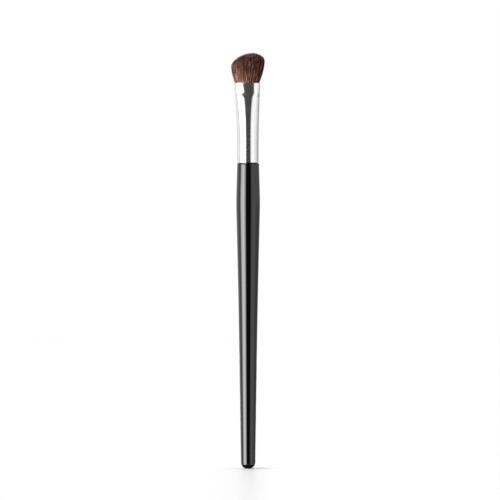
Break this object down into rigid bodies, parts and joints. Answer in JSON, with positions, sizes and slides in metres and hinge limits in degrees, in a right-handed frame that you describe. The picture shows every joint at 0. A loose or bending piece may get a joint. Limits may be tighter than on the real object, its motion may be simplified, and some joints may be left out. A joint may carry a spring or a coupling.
{
  "type": "nose contour brush",
  "caption": "Slim makeup brush: tapered black handle, bright ferrule pressed oval at its mouth, and a small flared brown hair tuft cut on a slant.",
  "frame": {"origin": "middle of the small flat on the handle's tail", "axes": "+Z runs along the brush from the tail to the hair, +X points to the side where the hair is long, and +Y runs through the tuft's thin side, away from the picture's camera"},
  "size_m": [0.014, 0.01, 0.1748],
  "materials": {
    "handle_lacquer": "gloss",
    "tenon_adhesive": "satin",
    "ferrule_metal": "polished",
    "resin": "gloss",
    "thread": "matte",
    "hair": "satin"
  },
  "bodies": {
    "root": {"handle": "handle_lacquer", "tenon_adhesive": "tenon_adhesive", "ferrule": "ferrule_metal", "resin_plug": "resin", "binding_thread": "thread", "hair_layer_1": "hair", "hair_layer_2": "hair", "hair_layer_3": "hair", "hair_layer_4": "hair", "hair_layer_5": "hair", "hair_layer_6": "hair"}
  },
  "joints": []
}
